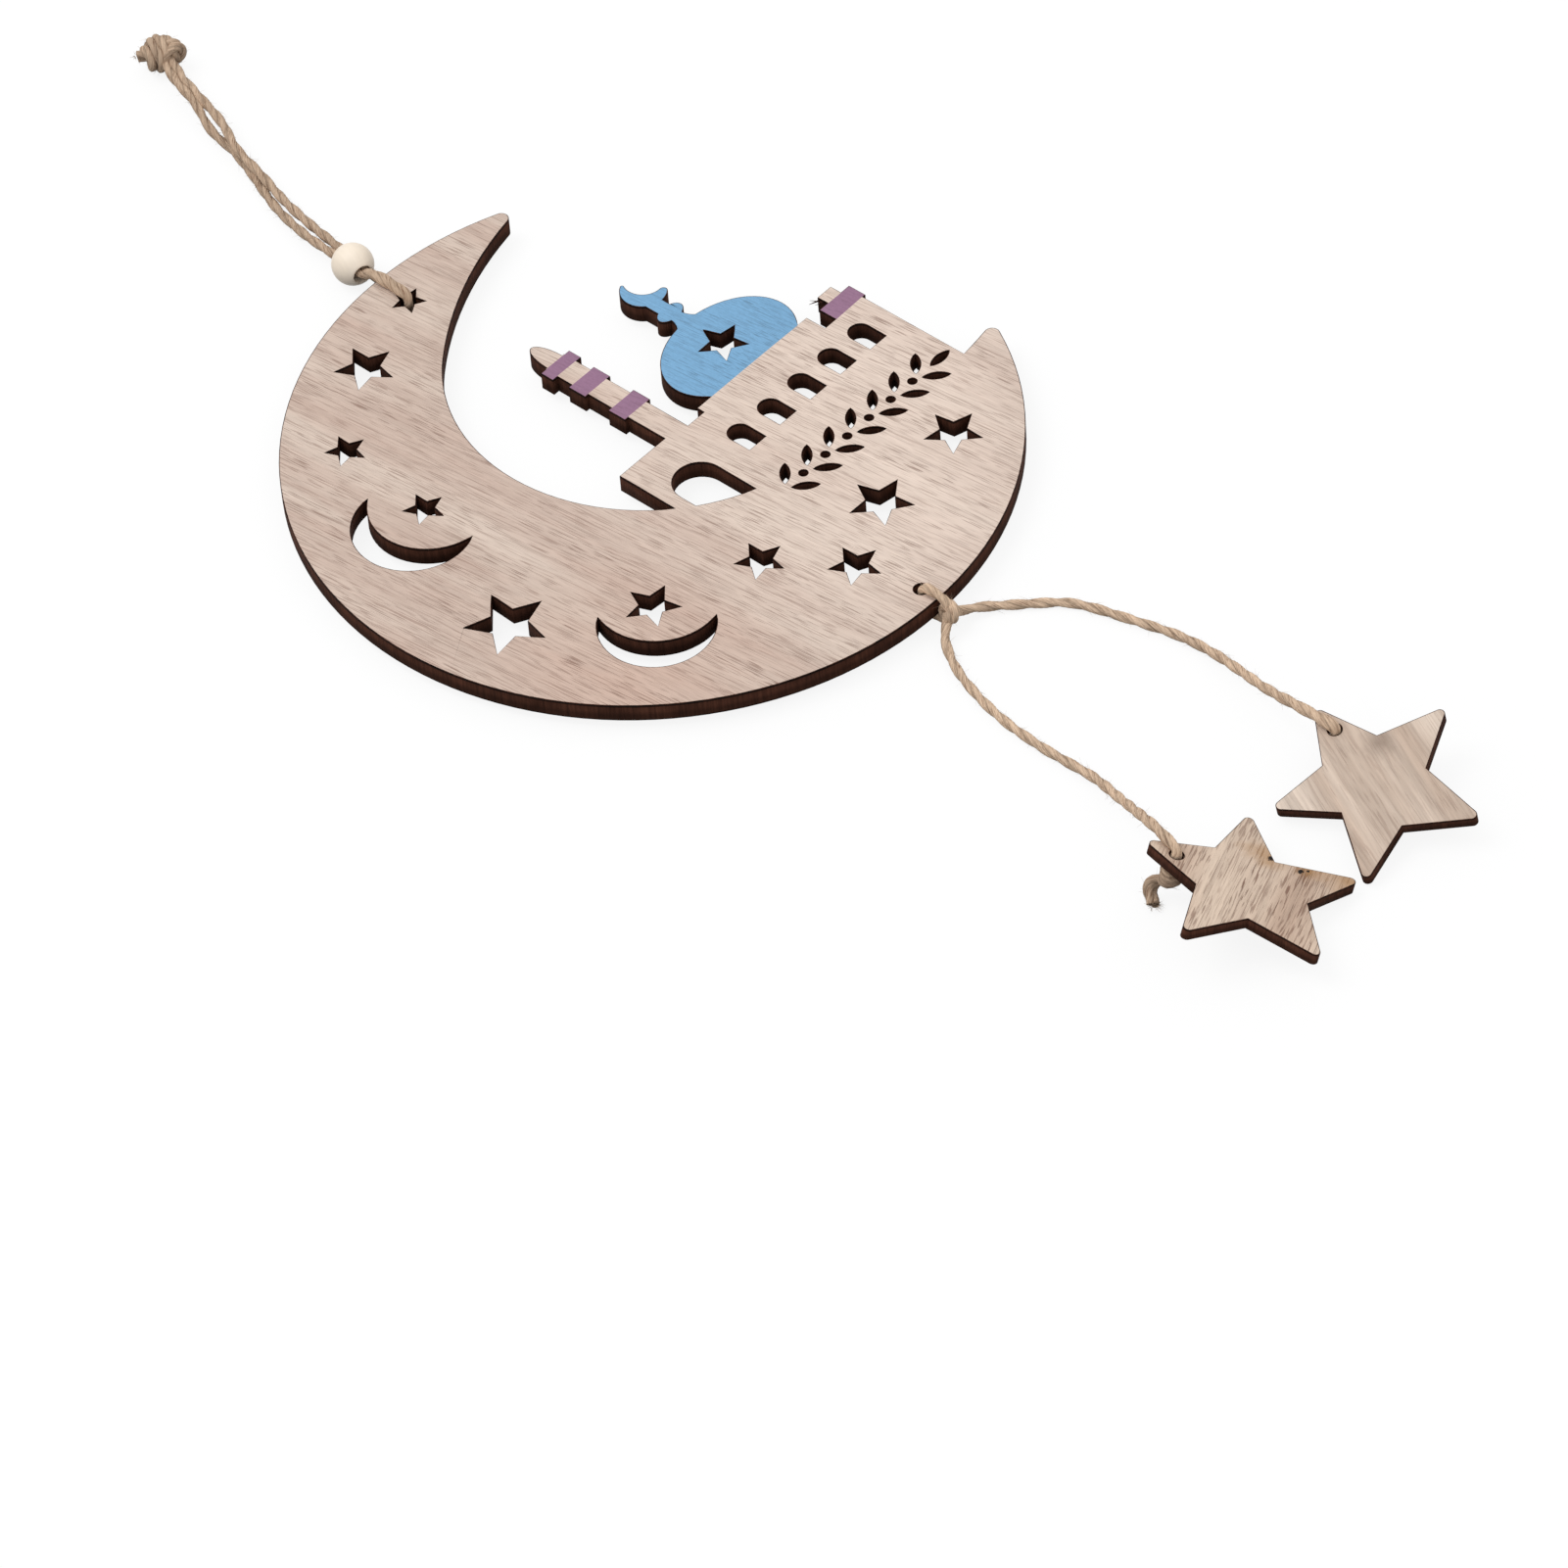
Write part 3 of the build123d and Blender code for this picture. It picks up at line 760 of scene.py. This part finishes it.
def ring_places(line):
    """Frames a ring step apart along a line, carried along it without twist."""
    places = []
    travelled = 0.0
    across = (line[1] - line[0]).orthogonal().normalized()
    for first, second in zip(line, line[1:]):
        ahead = second - first
        if ahead.length < shortest_step:
            continue
        along = ahead.normalized()
        across = (across - along * across.dot(along)).normalized()
        beside = along.cross(across)
        while len(places) * ring_step <= travelled + ahead.length:
            middle = first + along * (len(places) * ring_step - travelled)
            places.append((middle, across.copy(), beside.copy(), along.copy()))
        travelled += ahead.length
    return places


def spoke(across, beside, angle):
    """The direction at an angle between two that stand across a line."""
    return across * cos(angle) + beside * sin(angle)


def scattered(chance, reach):
    """A direction with each of its shares drawn within a reach."""
    return Vector([chance.uniform(-reach, reach) for axis in range(3)])


def ring_matrix(middle, across, beside, along, radius):
    """Takes a flat ring of radius one to its place on a ply."""
    turned = Matrix((across, beside, along)).transposed().to_4x4()
    return Matrix.Translation(middle) @ turned @ Matrix.Scale(radius, 4)


def twine_part():
    """An empty mesh whose points keep their place on the lay of the twine."""
    part = bmesh.new()
    part.verts.layers.float_vector.new("twine_lay")
    return part


def gather(shape, part):
    """Adds a finished part to the shape that it belongs to."""
    mesh = bpy.data.meshes.new("twine_part")
    part.to_mesh(mesh)
    part.free()
    shape.from_mesh(mesh)
    bpy.data.meshes.remove(mesh)


def draw_tube(part, matrices, sides, lays):
    """Extrudes a ring through its places, closes its ends and keeps the lay on each point."""
    layer = part.verts.layers.float_vector["twine_lay"]
    ring = bmesh.ops.create_circle(part, segments=sides, radius=1.0, matrix=matrices[0])["verts"]
    edges = list(dict.fromkeys(edge for point in ring for edge in point.link_edges))
    first_edges = edges
    rings = [ring]
    for before, after in zip(matrices, matrices[1:]):
        grown = bmesh.ops.extrude_edge_only(part, edges=edges)["geom"]
        ring = [made for made in grown if isinstance(made, bmesh.types.BMVert)]
        fresh = set(ring)
        edges = [
            made for made in grown
            if isinstance(made, bmesh.types.BMEdge) and fresh.issuperset(made.verts)
        ]
        bmesh.ops.transform(part, matrix=after @ before.inverted(), verts=ring)
        rings.append(ring)
    for ring, matrix, lay in zip(rings, matrices, lays):
        back = matrix.inverted()
        for point in ring:
            local = back @ point.co
            point[layer] = Vector((local.x, local.y, lay))
    bmesh.ops.contextual_create(part, geom=first_edges)
    bmesh.ops.contextual_create(part, geom=edges)


def draw_twine(shape, line, sizes, chance, loose_start=0.0, loose_end=0.0):
    """Two plies laid round each other along a line, uneven as jute is and looser near its ends."""
    places = ring_places(line)
    length = len(places) * ring_step
    radius = ply_radius * sizes.twine_diameter
    offset = ply_offset * sizes.twine_diameter
    start = chance.uniform(0.0, 2 * pi)
    for ply in range(ply_count):
        matrices = []
        lays = []
        drift = chance.uniform(0.0, lay_range)
        for step, (middle, across, beside, along) in enumerate(places):
            travelled = step * ring_step
            angle = start + 2 * pi * (travelled / sizes.twine_lay + ply / ply_count)
            uneven = noise.noise(Vector((drift, travelled / uneven_length, 0.0)))
            slub = noise.noise(Vector((drift, travelled / slub_length, slub_row)))
            loose = loose_start * max(0.0, 1.0 - abs(travelled / loose_middle - 1.0))
            loose += loose_end * max(0.0, 1.0 - (length - travelled) / loose_reach)
            swell = radius * (1.0 + uneven_share * uneven + slub_share * slub + loose)
            outward = spoke(across, beside, angle)
            centre = middle + outward * offset
            matrices.append(ring_matrix(centre, outward, along.cross(outward), along, swell))
            lays.append(drift + travelled / mm)
        part = twine_part()
        draw_tube(part, matrices, ply_sides, lays)
        gather(shape, part)
    return places


def draw_fibre(part, root, heading, curl, length, thickness, chance):
    """One stray fibre, curved and tapering to a point."""
    lays = [chance.uniform(0.0, lay_range)] * (fibre_steps + 1)
    matrices = []
    along = heading.normalized()
    middle = root.copy()
    for step in range(fibre_steps + 1):
        across = along.orthogonal().normalized()
        taper = thickness * (1.0 - fibre_taper * step / fibre_steps)
        matrices.append(ring_matrix(middle, across, along.cross(across), along, taper))
        along = (along + curl * (1.0 / fibre_steps)).normalized()
        middle = middle + along * (length / fibre_steps)
    if min(matrix.translation.z for matrix in matrices) > fibre_clearance:
        draw_tube(part, matrices, fibre_sides, lays)


def draw_strays(shape, places, sizes, chance):
    """Short fibres that stand out of the twine."""
    count = int(len(places) * ring_step / sizes.stray_spacing)
    for first in range(0, count, fibres_together):
        part = twine_part()
        for fibre in range(first, min(first + fibres_together, count)):
            middle, across, beside, along = chance.choice(places)
            outward = spoke(across, beside, chance.uniform(0.0, 2 * pi))
            heading = along * chance.choice((-1.0, 1.0)) + outward * chance.uniform(0.1, 0.6)
            curl = scattered(chance, 1.0) - outward * stray_hold
            length = sizes.stray_length * chance.uniform(0.3, 1.0)
            root = middle + outward * stray_root * sizes.twine_diameter
            draw_fibre(part, root, heading, curl, length, stray_thickness, chance)
        gather(shape, part)


def draw_fray(shape, line, count, length, chance):
    """Loose fibres where a line of twine is cut."""
    part = twine_part()
    heading = line[-1] - line[-2]
    for fibre in range(count):
        scatter = scattered(chance, 1.0)
        root = line[-1] + scatter * fray_scatter
        curl = scattered(chance, fray_curl)
        reach = length * chance.uniform(0.4, 1.0)
        draw_fibre(
            part, root, heading + scatter * fray_spread, curl, reach, fray_thickness, chance
        )
    gather(shape, part)


def close_shape(shape):
    bmesh.ops.recalc_face_normals(shape, faces=shape.faces)
    for part in shape.faces:
        part.smooth = True


def coil_route(coil):
    """Control points of a coil."""
    across = coil.axis.orthogonal().normalized()
    beside = coil.axis.cross(across)
    count = int(coil.turns * turn_points)
    route = []
    for step in range(count + 1):
        share = step / count
        reach = coil.radius + coil.bulge * sin(pi * share)
        outward = spoke(across, beside, coil.start + 2 * pi * coil.turns * share)
        height = coil.low + (coil.high - coil.low) * share
        route.append(coil.middle + outward * reach + coil.axis * height)
    return route


def lay_cord(name, line, finish, body, nodes, sizes, chance, loose_start, loose_end):
    """A cord with its stray fibres, which ends in a knot."""
    shape = bmesh.new()
    places = draw_twine(shape, line, sizes, chance, loose_start, loose_end)
    draw_strays(shape, places[bare_rings:], sizes, chance)
    close_shape(shape)
    cord = show(shape, name, (finish,), body, "jute_twine", *nodes)


def star_plane(side):
    """Hole centre on a star's back, and the star's outward direction."""
    turn = joints[side + "_star_turn"]
    return Vector(turn["pos_m"]), Vector(turn["axis"]).normalized()


def pendant_route(pendant):
    """A pendant's route, carried over its star and down through the hole."""
    hole, face = star_plane(pendant.side)
    flat = Vector((cos(pendant.heading), sin(pendant.heading), 0.0))
    lead = (flat - face * flat.dot(face)).normalized()
    over = [hole + (lead * ahead + face * above) * mm for ahead, above in star_approach]
    return [*metres(pendant.route), *over]


class ORNAMENT_OT_stage(Operator):
    """Lays the floor and sets the lights and the camera"""

    bl_idname = "ornament.stage"
    bl_label = "Stage"

    def execute(self, context):
        scene = context.scene
        colours = scene.ornament_colours
        scene.view_settings.view_transform = "Standard"
        ground = bmesh.new()
        bmesh.ops.create_grid(ground, x_segments=1, y_segments=1, size=floor_reach)
        bmesh.ops.translate(ground, verts=ground.verts, vec=(0.0, 0.0, -floor_drop))
        mesh = bpy.data.meshes.new("studio_floor")
        ground.to_mesh(mesh)
        ground.free()
        mesh.materials.append(floor_finish("floor_white", colours).material)
        floor = bpy.data.objects.new("studio_floor", mesh)
        scene.collection.objects.link(floor)

        world = scene.world or bpy.data.worlds.new("studio_world")
        scene.world = world
        world.use_nodes = True
        background = world.node_tree.nodes["Background"]
        background.inputs["Color"].default_value = (*white, 1.0)
        background.inputs["Strength"].default_value = sky_strength

        lamp = bpy.data.lights.new("studio_softbox", "AREA")
        lamp.shape = "DISK"
        lamp.size = softbox_size
        lamp.energy = softbox_energy
        softbox = bpy.data.objects.new("studio_softbox", lamp)
        softbox.location = softbox_place
        softbox.rotation_euler = (-softbox.location).to_track_quat("-Z", "Y").to_euler()
        scene.collection.objects.link(softbox)

        view = bpy.data.cameras.new("photo_camera")
        view.lens = camera_lens
        view.sensor_fit = "HORIZONTAL"
        view.sensor_width = camera_sensor
        camera = bpy.data.objects.new("photo_camera", view)
        turned = Matrix((camera_right, camera_up, camera_right.cross(camera_up))).transposed()
        camera.matrix_world = Matrix.Translation(camera_place) @ turned.to_4x4()
        scene.collection.objects.link(camera)
        scene.camera = camera
        return {"FINISHED"}


class ORNAMENT_OT_board(Operator):
    """Cuts the painted areas on the board and gives it veneer, paint and burnt edges"""

    bl_idname = "ornament.board"
    bl_label = "Board"

    def execute(self, context):
        colours = context.scene.ornament_colours
        sizes = context.scene.ornament_sizes
        face = Vector((0.0, 0.0, 1.0))
        along = Vector((0.0, 1.0, 0.0))
        foot = face * board_back
        shape = sheet_copy("crescent_plate")
        heights = [dome_area[0][1]]
        heights += [corner[1] for area in band_areas for corner in area]
        for height in heights:
            cut_faces(shape, face, along * (height * mm), along)
        bmesh.ops.remove_doubles(shape, verts=shape.verts, dist=snap)
        for part in shape.faces:
            part.smooth = True
            middle = part.calc_center_median()
            if abs(part.normal.z) < facing:
                part.material_index = wall_index
            elif part.normal.z > facing and inside(middle, dome_area):
                part.material_index = dome_index
            elif part.normal.z > facing and any(inside(middle, area) for area in band_areas):
                part.material_index = band_index
        ease_cuts(shape, face, sizes)
        splinters = twine_part()
        chance = random.Random(sizes.fibre_seed)
        for root in metres(splinter_roots):
            heading = splinter_heading + scattered(chance, splinter_spread)
            curl = scattered(chance, splinter_curl)
            length = chance.uniform(*splinter_lengths) * mm
            draw_fibre(splinters, root, heading, curl, length, splinter_thickness, chance)
        for part in splinters.faces:
            part.material_index = wall_index
        gather(shape, splinters)
        keep_depth(shape, foot, face, board_thickness)
        veneer = Wood(
            colours.board_pale, colours.board_streak, colours.pore, pore_share=0.6,
            pore_scale=3.8, pore_stretch=28.0, band_scale=0.55, band_share=0.07,
        )
        fair = Marks(board_fair, colours.board_fair, share=0.75, rough=0.15)
        ruddy = Marks(board_ruddy, colours.board_ruddy, share=0.8, rough=0.15)
        finishes = (
            veneer_finish("board_veneer", veneer, board_grain, 0.0, board_relief, (fair, ruddy)),
            char_finish("board_char", colours),
            scorch_finish("board_scorch", colours),
            paint_finish("dome_blue", colours.dome_paint, colours, dome_grain_share),
            paint_finish("band_mauve", colours.band_paint, colours, band_grain_share),
        )
        show(shape, "crescent_board", finishes, "crescent", "board_wood", "crescent_plate")
        return {"FINISHED"}


class ORNAMENT_OT_stars(Operator):
    """Gives the two hanging stars their grain and burnt edges"""

    bl_idname = "ornament.stars"
    bl_label = "Stars"

    def execute(self, context):
        colours = context.scene.ornament_colours
        sizes = context.scene.ornament_sizes
        char = char_finish("star_char", colours)
        scorch = scorch_finish("star_scorch", colours)
        nicks = Marks(left_star_nicks, colours.char, share=2.4, rough=0.5)
        browned = Marks(left_star_scorch, colours.scorch, share=0.8, rough=0.35)
        stain = Marks(right_star_smudge, colours.smudge, share=0.6, rough=0.25)
        rough = Wood(
            colours.left_star_pale, colours.left_star_streak, colours.pore, pore_share=0.8,
            pore_scale=2.6, pore_stretch=14.0, band_scale=0.7, band_share=0.1,
        )
        smooth = Wood(
            colours.right_star_pale, colours.right_star_streak, colours.pore, pore_share=0.26,
            pore_scale=2.2, pore_stretch=20.0, band_scale=0.42, band_share=0.17,
        )
        grains = {
            "left": veneer_finish(
                "left_star_grain", rough, left_star_grain, left_star_shift, left_star_relief,
                marks=(browned, nicks),
            ),
            "right": veneer_finish(
                "right_star_grain", smooth, right_star_grain, right_star_shift,
                right_star_relief, marks=(stain,),
            ),
        }
        for side, grain in grains.items():
            node = side + "_star"
            hole, face = star_plane(side)
            shape = sheet_copy(node)
            for part in shape.faces:
                part.smooth = True
                if abs(part.normal.dot(face)) < facing:
                    part.material_index = wall_index
            ease_cuts(shape, face, sizes)
            keep_depth(shape, hole, face, star_thickness)
            show(shape, node + "_board", (grain, char, scorch), node, "star_wood", node)
        return {"FINISHED"}


class ORNAMENT_OT_bead(Operator):
    """Turns the bead on its bore"""

    bl_idname = "ornament.bead"
    bl_label = "Bead"

    def execute(self, context):
        colours = context.scene.ornament_colours
        shape = bmesh.new()
        shoulder = bead_half_length - bead_chamfer
        profile = [(bead_bore, -shoulder), (bead_lip, -bead_half_length)]
        profile += [(reach * mm, along * mm) for reach, along in bead_profile]
        profile += [(bead_lip, bead_half_length), (bead_bore, shoulder)]
        points = [shape.verts.new((reach, 0.0, along)) for reach, along in profile]
        edges = [shape.edges.new(pair) for pair in zip(points, points[1:])]
        edges.append(shape.edges.new((points[-1], points[0])))
        bmesh.ops.spin(
            shape, geom=[*points, *edges], cent=(0.0, 0.0, 0.0), axis=(0.0, 0.0, 1.0),
            angle=2 * pi, steps=bead_sides, use_merge=True,
        )
        bmesh.ops.remove_doubles(shape, verts=shape.verts, dist=merge_reach)
        close_shape(shape)
        turned = pull.to_track_quat("Z", "Y").to_matrix().to_4x4()
        bmesh.ops.transform(
            shape, matrix=Matrix.Translation(bead_middle) @ turned, verts=shape.verts
        )
        finish = bead_finish("bead_wood_finish", colours)
        piece = show(shape, "turned_bead", (finish,), "bead", "bead_wood", "hanger_bead")
        rounding = piece.modifiers.new("Rounding", "SUBSURF")
        rounding.levels = bead_levels
        rounding.render_levels = bead_levels
        return {"FINISHED"}


class ORNAMENT_OT_hanger_twine(Operator):
    """Lays the hanger's two strands of twine and ties their knot"""

    bl_idname = "ornament.hanger_twine"
    bl_label = "Hanger Twine"

    def execute(self, context):
        colours = context.scene.ornament_colours
        sizes = context.scene.ornament_sizes
        chance = random.Random(sizes.fibre_seed)
        finish = twine_finish("hanger_jute", colours, hanger_light)
        shape = bmesh.new()
        places = draw_twine(shape, twine_line(coil_route(hanger_ball)), sizes, chance)
        places += draw_twine(shape, twine_line(coil_route(hanger_lobe)), sizes, chance)
        reaches = (-hanger_core_reach, 0.0, hanger_core_reach)
        core = [hanger_ball.middle + hanger_ball.axis * reach for reach in reaches]
        places += draw_twine(shape, twine_line(core), sizes, chance)
        for route in hanger_ends:
            end = twine_line(metres(route))
            places += draw_twine(shape, end, sizes, chance)
            draw_fray(shape, end, hanger_fray_count, hanger_fray_length, chance)
        draw_strays(shape, places, sizes, chance)
        close_shape(shape)
        knot = show(shape, "hanger_knot_wraps", (finish,), "hanger", "jute_twine", "hanger_knot")
        for name, route, loose, nodes in (
            ("hanger_front_twine", hanger_front_route, hanger_front_loose,
             ("hanger_eye", "hanger_left_strand")),
            ("hanger_back_twine", hanger_back_route, 0.0, ("hanger_right_strand",)),
        ):
            line = twine_line(metres(route))
            lay_cord(name, line, finish, "hanger", nodes, sizes, chance, loose, 0.0)
        return {"FINISHED"}


class ORNAMENT_OT_tie(Operator):
    """Ties the pendant twine through the hole in the lower rim"""

    bl_idname = "ornament.tie"
    bl_label = "Pendant Tie"

    def execute(self, context):
        colours = context.scene.ornament_colours
        sizes = context.scene.ornament_sizes
        chance = random.Random(sizes.fibre_seed + 1)
        finish = twine_finish("tie_jute", colours)
        for name, route, node in (
            ("tie_loop_twine", metres(tie_loop_route), "pendant_tie_loop"),
            ("tie_knot_wraps", coil_route(tie_coil), "pendant_tie_knot"),
        ):
            shape = bmesh.new()
            places = draw_twine(shape, twine_line(route), sizes, chance)
            draw_strays(shape, places, sizes, chance)
            close_shape(shape)
            show(shape, name, (finish,), "crescent", "jute_twine", node)
        return {"FINISHED"}


class ORNAMENT_OT_pendant_twine(Operator):
    """Lays the two pendant cords and ties each below its star"""

    bl_idname = "ornament.pendant_twine"
    bl_label = "Pendant Twine"

    def execute(self, context):
        colours = context.scene.ornament_colours
        sizes = context.scene.ornament_sizes
        chance = random.Random(sizes.fibre_seed + 2)
        finish = twine_finish("pendant_jute", colours)
        # Darker jute on the stopper knots is painted shade from the star above them.
        shaded = twine_finish("stopper_jute_painted_shade", colours, stopper_painted_shade)
        for pendant in pendants:
            side = pendant.side
            body = side + "_pendant"
            hole, face = star_plane(side)
            wraps = coil_route(Coil(
                middle=hole, axis=-face, radius=stopper_radius, start=0.0,
                turns=pendant.turns, low=stopper_top, high=pendant.depth,
            ))
            tails = [metres(tail) for tail in pendant.tails]
            tails[0] = [hole - face * stopper_entry, *wraps, *tails[0]]
            shape = bmesh.new()
            for tail in tails:
                line = twine_line(tail)
                places = draw_twine(shape, line, sizes, chance)
                draw_strays(shape, places, sizes, chance)
                draw_fray(shape, line, stopper_fray_count, stopper_fray_length, chance)
            close_shape(shape)
            knot = show(shape, side + "_stopper_wraps", (shaded,), body, "jute_twine",
                        side + "_stopper_knot")
            line = twine_line(pendant_route(pendant))
            lay_cord(side + "_pendant_twine", line, finish, body, (side + "_pendant_cord",),
                     sizes, chance, 0.0, pendant.loose)
        return {"FINISHED"}


class ORNAMENT_PT_builder(Panel):
    """Lists the pieces of the ornament"""

    bl_idname = "ORNAMENT_PT_builder"
    bl_label = "Crescent Ornament"
    bl_space_type = "VIEW_3D"
    bl_region_type = "UI"
    bl_category = "Ornament"

    def draw(self, context):
        layout = self.layout
        for step in steps:
            layout.operator(step.bl_idname)
        for group in (context.scene.ornament_sizes, context.scene.ornament_colours):
            box = layout.box()
            for name in group.__annotations__:
                box.prop(group, name)


steps = (
    ORNAMENT_OT_stage,
    ORNAMENT_OT_board,
    ORNAMENT_OT_stars,
    ORNAMENT_OT_bead,
    ORNAMENT_OT_hanger_twine,
    ORNAMENT_OT_tie,
    ORNAMENT_OT_pendant_twine,
)
classes = (OrnamentColours, OrnamentSizes, *steps, ORNAMENT_PT_builder)


def register():
    for made in classes:
        bpy.utils.register_class(made)
    bpy.types.Scene.ornament_colours = PointerProperty(type=OrnamentColours)
    bpy.types.Scene.ornament_sizes = PointerProperty(type=OrnamentSizes)


def unregister():
    del bpy.types.Scene.ornament_sizes
    del bpy.types.Scene.ornament_colours
    for made in reversed(classes):
        bpy.utils.unregister_class(made)


def main():
    register()
    bpy.ops.ornament.stage()
    bpy.ops.ornament.board()
    bpy.ops.ornament.stars()
    bpy.ops.ornament.bead()
    bpy.ops.ornament.hanger_twine()
    bpy.ops.ornament.tie()
    bpy.ops.ornament.pendant_twine()


if __name__ == "__main__":
    main()
